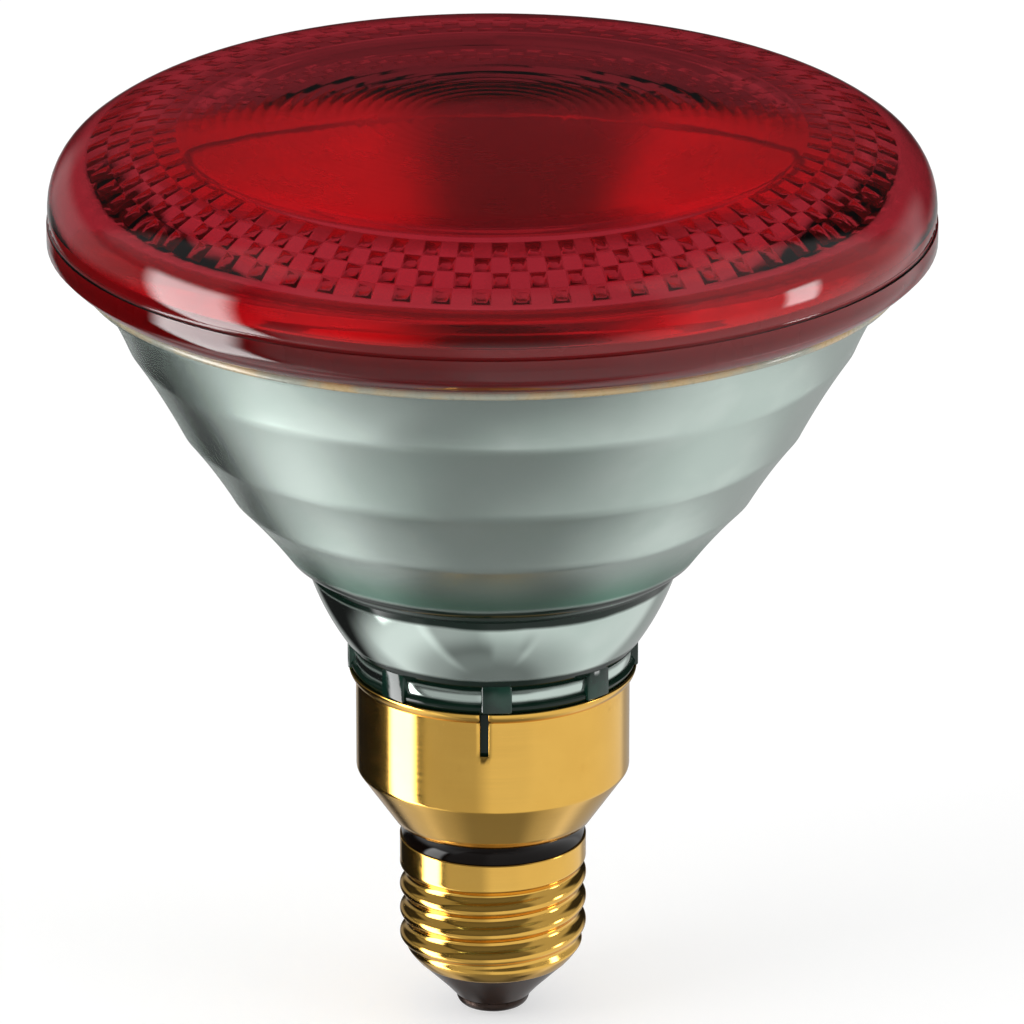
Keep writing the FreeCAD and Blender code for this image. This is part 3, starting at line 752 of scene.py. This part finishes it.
def makeThroatRing(material):
    form = ringForm
    low, high = highOf("screw_shell"), lowOf("skirt")
    foot, head = low - form["down"], high + form["up"]
    outline = [(form["bore"], foot), (form["spigot"], foot), (form["spigot"], low)]
    outline.append((form["footRadius"], low))
    arcTo(outline, (form["headRadius"], high), -form["hollow"], 8)
    spigot = form["headRadius"] - form["headStep"]
    outline += [(spigot, high), (spigot, head), (form["bore"], head)]
    bm = spinOutline(outline, 128, closed=True)
    # the ring's near-black finish is a painted dark reflection
    piece = finishPiece(bm, "throatRing", "throat_ring", [material], 40)
    addBevel(piece, form["edge"], 2, 50)
    return piece


shellForm = {
    "sheet": 0.35, "rimRadius": 10.7, "collarRadius": 13.0, "noseHeight": 3.3, "crestRadius": 13.05,
    "rootRadius": 12.05, "pitch": 3.629, "crestHeight": 8.95, "threadStart": (1.6, 3.4),
    "threadEnd": (5.0, 3.2), "rows": 112, "steps": 144,
}


def smoothStep(value, start, end):
    share = min(1.0, max(0.0, (value - start) / (end - start)))
    return share * share * (3 - 2 * share)


def shellRadius(angle, up, height):
    # rounded nose, rolled thread of equal arcs and a plain collar, at a height above the shell's rim
    form = shellForm
    depth = form["crestRadius"] - form["rootRadius"]
    arc = (form["pitch"] ** 2 / 4 + depth ** 2) / (4 * depth)
    mean = (form["crestRadius"] + form["rootRadius"]) / 2
    lead = up - form["crestHeight"] - form["pitch"] * angle / (2 * math.pi)
    away = abs(lead - form["pitch"] * round(lead / form["pitch"]))
    if away <= form["pitch"] / 4:
        thread = form["crestRadius"] - arc + math.sqrt(arc ** 2 - away ** 2)
    else:
        thread = form["rootRadius"] + arc - math.sqrt(arc ** 2 - (form["pitch"] / 2 - away) ** 2)
    nose = min(1.0, up / form["noseHeight"])
    body = form["rimRadius"] + (mean - form["rimRadius"]) * math.sin(math.pi / 2 * nose)
    rise = smoothStep(up, *form["threadStart"])
    fade = 1 - smoothStep(up, height - form["threadEnd"][0], height - form["threadEnd"][1])
    collar = (form["collarRadius"] - mean) * (1 - fade)
    return body + collar + (thread - mean) * rise * fade


def makeShell(brass):
    # a plain tube is spun and then rolled into the thread
    form = shellForm
    low, high = lowOf("screw_shell"), highOf("screw_shell")
    outline = [(form["rootRadius"], low)]
    lineTo(outline, (form["rootRadius"], high), form["rows"])
    bm = spinOutline(outline, form["steps"])
    for vert in bm.verts:
        angle = math.atan2(vert.co.y, vert.co.x)
        radius = shellRadius(angle, vert.co.z / mm - low, high - low) * mm
        vert.co.x, vert.co.y = radius * math.cos(angle), radius * math.sin(angle)
    turnOutward(bm)
    piece = finishPiece(bm, "screwShell", "screw_shell", [brass], 60)
    addWall(piece, form["sheet"])
    return piece


tipForm = {
    "solderFlat": 2.3, "solderRadius": 3.3, "solderBulge": 0.12, "contactRadius": 5.1, "contactRound": 1.4,
    "footRadius": 6.8, "footHeight": 1.9, "coneRadius": 10.65, "innerRadius": 10.35, "innerRise": 1.2,
    "holeRadius": 0.6, "edge": 0.25,
}


def makeTip(blackGlass, contactPaintedDark, solder):
    form = tipForm
    tip, base, contactTop = lowOf("centre_solder"), highOf("centre_solder"), highOf("end_contact")
    outline = [(0, tip), (form["solderFlat"], tip)]
    arcTo(outline, (form["solderRadius"], base), form["solderBulge"], 6)
    outline.append((0, base))
    finishPiece(spinOutline(outline, 64), "centreSolder", "centre_solder", [solder], 60)

    # the contact's near-black finish is a painted dark reflection and shade
    radius, corner = form["contactRadius"], form["contactRound"]
    outline = [(0, base), (radius - corner, base)]
    arcTo(outline, (radius, base + corner), corner * quarterBulge, 8)
    outline += [(radius, contactTop), (0, contactTop)]
    finishPiece(spinOutline(outline, 96), "endContact", "end_contact", [contactPaintedDark], 50)

    rim, top = lowOf("screw_shell"), highOf("insulator")
    hole, inner = form["holeRadius"], form["innerRadius"]
    crease = contactTop + form["footHeight"]
    outline = [(hole, contactTop), (radius, contactTop), (form["footRadius"], crease)]
    outline += [(form["coneRadius"], rim), (inner, rim), (inner, rim + form["innerRise"])]
    outline += [(inner, top), (hole, top)]
    bm = spinOutline(outline, 128, closed=True)
    piece = finishPiece(bm, "insulatorGlass", "insulator", [blackGlass], 20)
    addBevel(piece, form["edge"], 3, 12)
    return piece


# Filament: a fine coil, bowed back between the rods

coilForm = {
    "turns": 34, "wireRadius": 0.13, "coilRadius": 0.77, "reach": 7.25, "bow": 3.5, "height": 70.2,
    "stepsPerTurn": 14, "wireSides": 6,
}


def makeFilament(tungsten):
    form = coilForm
    pathRadius = (form["reach"] ** 2 + form["bow"] ** 2) / (2 * form["bow"])
    half = math.asin(form["reach"] / pathRadius)
    length = 2 * pathRadius * half
    bm = bmesh.new()
    wire = form["wireRadius"] * mm
    ring = bmesh.ops.create_circle(bm, segments=form["wireSides"], radius=wire)["verts"]
    bmesh.ops.rotate(bm, verts=ring, cent=(0, 0, 0), matrix=Matrix.Rotation(math.pi / 2, 3, "X"))
    bmesh.ops.translate(bm, verts=ring, vec=(-length / 2 * mm, 0, form["coilRadius"] * mm))
    edges = list({edge for vert in ring for edge in vert.link_edges})
    steps = form["turns"] * form["stepsPerTurn"]
    bmesh.ops.spin(
        bm, geom=ring + edges, cent=(0, 0, 0), axis=(1, 0, 0), angle=2 * math.pi * form["turns"],
        steps=steps, dvec=(length / steps * mm, 0, 0),
    )
    ends = [edge for edge in bm.edges if edge.is_boundary]
    bmesh.ops.holes_fill(bm, edges=ends)
    centre, lift = (form["bow"] - pathRadius) * mm, form["height"] * mm
    for vert in bm.verts:
        turn = vert.co.x / mm / pathRadius
        out = pathRadius * mm + vert.co.y
        vert.co = Vector((out * math.sin(turn), centre + out * math.cos(turn), vert.co.z + lift))
    bmesh.ops.recalc_face_normals(bm, faces=bm.faces)
    return finishPiece(bm, "filamentCoil", "filament", [tungsten], 60)


def dressNodes(finishes):
    # the inner pieces keep their solids and get their finish
    for node, material in finishes.items():
        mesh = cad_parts[node].data
        mesh.materials.clear()
        mesh.materials.append(material)


# Studio: camera, floor, light

studio = {
    "lens": 303.7, "sensor": 36, "distance": 1190.3, "elevation": 20.18, "aim": (2.67, 0, 73.67),
    "floorRadius": 3000, "floorGrey": 0.55, "floorGlow": 0.5, "ambient": 0.85,
    "softboxes": {  # place and size in metres, watts
        "leftSoftbox": ((-0.9, -0.5, 0.7), (0.6, 0.8), 4),
        "rightSoftbox": ((0.9, -0.4, 0.6), (0.5, 0.7), 2),
    },
    "softboxAim": (0, 0, 0.07),
}


def makeCamera():
    up = math.radians(studio["elevation"])
    aim = Vector(studio["aim"]) * mm
    away = Vector((0, -math.cos(up), math.sin(up))) * studio["distance"] * mm
    data = bpy.data.cameras.new("camera")
    data.lens = studio["lens"]
    data.sensor_width = studio["sensor"]
    data.clip_start, data.clip_end = 0.05, 20
    camera = bpy.data.objects.new("camera", data)
    bpy.context.scene.collection.objects.link(camera)
    camera.location = aim + away
    camera.rotation_euler = (-away).to_track_quat("-Z", "Y").to_euler()
    bpy.context.scene.camera = camera


def makeFloor():
    bm = bmesh.new()
    bmesh.ops.create_circle(bm, cap_ends=True, segments=96, radius=studio["floorRadius"] * mm)
    mesh = bpy.data.meshes.new("floor")
    bm.to_mesh(mesh)
    bm.free()
    material, tree, shader, place = newMaterial("paleFloor")
    shader.inputs["Base Color"].default_value = (*[studio["floorGrey"]] * 3, 1)
    shader.inputs["Roughness"].default_value = 1.0
    shader.inputs["Specular IOR Level"].default_value = 0.0
    light = tree.nodes.new("ShaderNodeLightPath")
    shader.inputs["Emission Color"].default_value = (1, 1, 1, 1)
    seen = addMath(tree, "MULTIPLY", light.outputs["Is Camera Ray"], studio["floorGlow"])
    setInput(tree, shader.inputs["Emission Strength"], seen)
    mesh.materials.append(material)
    floor = bpy.data.objects.new("floor", mesh)
    bpy.context.scene.collection.objects.link(floor)
    floor.visible_glossy = False
    floor.visible_transmission = False


def makePanelGroup():
    # one softly edged panel of the studio, by azimuth from the front and elevation, in degrees
    inputs = [("Azimuth", "Float", 0.0), ("Elevation", "Float", 0.0)]
    inputs += [(label, "Float", 0.0) for label in ("From", "To", "Low", "High", "Soft", "Strength")]
    group, ins, outs = newGroup("studioPanel", inputs, [("Light", "Float")])

    def addEdge(angle, edge, before, after):
        start = addMath(group, "SUBTRACT", ins[edge], ins["Soft"])
        end = addMath(group, "ADD", ins[edge], ins["Soft"])
        return addRange(group, ins[angle], start, end, before, after)

    left, right = addEdge("Azimuth", "From", 0, 1), addEdge("Azimuth", "To", 1, 0)
    low, high = addEdge("Elevation", "Low", 0, 1), addEdge("Elevation", "High", 1, 0)
    across = addMath(group, "MULTIPLY", left, right)
    mask = addMath(group, "MULTIPLY", across, addMath(group, "MULTIPLY", low, high))
    setInput(group, outs["Light"], addMath(group, "MULTIPLY", mask, ins["Strength"]))
    return group


# Panels as (from, to, low, high, soft, strength): first those that polished surfaces mirror, then
# those that shine through the glass. The underside and the base are the level between the panels.
underside = (-80.0, -66.0, 0.24, 0.015)
glowBase = 0.03
mirrorPanels = [
    (-96, -69.5, -46, 10, 4, 8.5),
    (-128, -58, -63, -46, 7, 1.05),
    (-128, -56, -74, -63, 7, 0.45),
    (-156, -128, -66, -44, 6, 0.6),
    (-62, -8, -64, -16, 6, 0.53),
    (-66, 0, -76, -64, 6, 0.18),
    (-8, 32, -64, -16, 7, 0.86),
    (0, 44, -74, -64, 6, 0.42),
    (32, 142, -62, -12, 7, 0.88),
    (40, 130, -73, -62, 6, 0.5),
    (142, 186, -66, -14, 7, 0.42),
    (-188, -160, -66, -14, 6, 0.4),
    (-160, -98, -14, 6, 5, 0.3),
    (-120, -71, 10, 60, 5, 0.3),
    (-60, 48, -10, 60, 8, 0.15),
    (48, 142, -12, 6, 7, 0.5),
    (48, 116, 6, 60, 7, 0.5),
    (79, 90, -13, 5, 2, 8.0),
    (-200, 200, 14, 100, 8, 0.025),
]
glowPanels = [
    (-128, -56, 16, 100, 10, 1.3),
    (32, 130, 16, 100, 10, 1.3),
    (-128, -45, -100, 16, 10, 0.62),
    (28, 128, -100, 16, 10, 0.64),
    (130, 190, 12, 100, 6, 0.42),
    (-190, -128, 12, 100, 6, 0.46),
    (130, 190, -100, 12, 6, 0.16),
    (-190, -128, -100, 12, 6, 0.2),
    (-56, 32, 20, 46, 8, 0.2),
]


def makeWorld():
    world = bpy.data.worlds.new("studio")
    bpy.context.scene.world = world
    world.use_nodes = True
    world.cycles.sampling_method = "NONE"
    tree = world.node_tree
    background = tree.nodes["Background"]
    direction = tree.nodes.new("ShaderNodeSeparateXYZ")
    tree.links.new(tree.nodes.new("ShaderNodeTexCoord").outputs["Generated"], direction.inputs[0])
    x, y, z = direction.outputs
    azimuth = addMath(tree, "DEGREES", addMath(tree, "ARCTAN2", x, addMath(tree, "MULTIPLY", y, -1.0)))
    elevation = addMath(tree, "DEGREES", addMath(tree, "ARCSINE", z))
    panel = makePanelGroup()

    def panelLight(base, panels):
        total = base
        for values in panels:
            entries = dict(zip(("From", "To", "Low", "High", "Soft", "Strength"), values))
            entries.update({"Azimuth": azimuth, "Elevation": elevation})
            total = addMath(tree, "ADD", total, placeGroup(tree, panel, entries)["Light"])
        return total

    mirrored = panelLight(addRange(tree, elevation, *underside), mirrorPanels)
    glow = panelLight(glowBase, glowPanels)
    path = tree.nodes.new("ShaderNodeLightPath")
    ambient = studio["ambient"]
    seen = addMath(tree, "MULTIPLY", path.outputs["Is Camera Ray"], 1 - ambient)
    strength = addMath(tree, "ADD", ambient, seen)
    for flag, light in (("Is Glossy Ray", mirrored), ("Is Transmission Ray", glow)):
        change = addMath(tree, "MULTIPLY", path.outputs[flag], addMath(tree, "SUBTRACT", light, strength))
        strength = addMath(tree, "ADD", strength, change)
    background.inputs["Color"].default_value = (1, 1, 1, 1)
    setInput(tree, background.inputs["Strength"], strength)


def addSoftbox(name, place, size, watts):
    data = bpy.data.lights.new(name, "AREA")
    data.shape = "RECTANGLE"
    data.size, data.size_y = size
    data.energy = watts
    softbox = bpy.data.objects.new(name, data)
    bpy.context.scene.collection.objects.link(softbox)
    softbox.location = place
    aim = Vector(studio["softboxAim"]) - Vector(place)
    softbox.rotation_euler = aim.to_track_quat("-Z", "Y").to_euler()
    softbox.visible_glossy = False
    softbox.visible_transmission = False
    softbox.visible_camera = False


def main():
    bpy.context.scene.view_settings.view_transform = "Standard"
    makeCamera()
    makeFloor()
    makeWorld()
    for name, settings in studio["softboxes"].items():
        addSoftbox(name, *settings)
    print("studio set")

    mirror = makeMirrorCoat()
    brass = makeBrass()
    solder = makeMetal("softSolder")
    steel = makeMetal("ferruleSteel")
    braze = makeMetal("brazeMetal")
    nickel = makeMetal("nickelWire")
    copper = makeMetal("copperWire")
    print("shared materials made")

    makeLens(makeRubyGlass("rubyGlass"), makeRubyGlass("rubyStudPaintedShade"), makeWallCoat())
    makeSeal(makeSealGlass(), mirror)
    makeReflector(makeSilveredGlass(highOf("skirt")), mirror, makeGreenGlass())
    makeSkirt(brass)
    makeThroatRing(makeDarkGloss("ringPaintedDark"))
    makeShell(brass)
    makeTip(makeDarkGloss("blackGlass"), makeMetal("contactPaintedDark"), solder)
    makeFilament(makeMetal("tungsten"))
    print("pieces made")

    dressNodes({
        "ferrule_left": steel, "ferrule_right": steel, "braze_left": braze, "braze_right": braze,
        "lead_rod_left": nickel, "lead_rod_right": nickel, "support_wire": nickel,
        "exhaust_stub": makeClearGlass(), "contact_feed_wire": copper, "shell_feed_wire": copper,
        "side_solder": solder,
    })
    print("inner pieces dressed")


main()
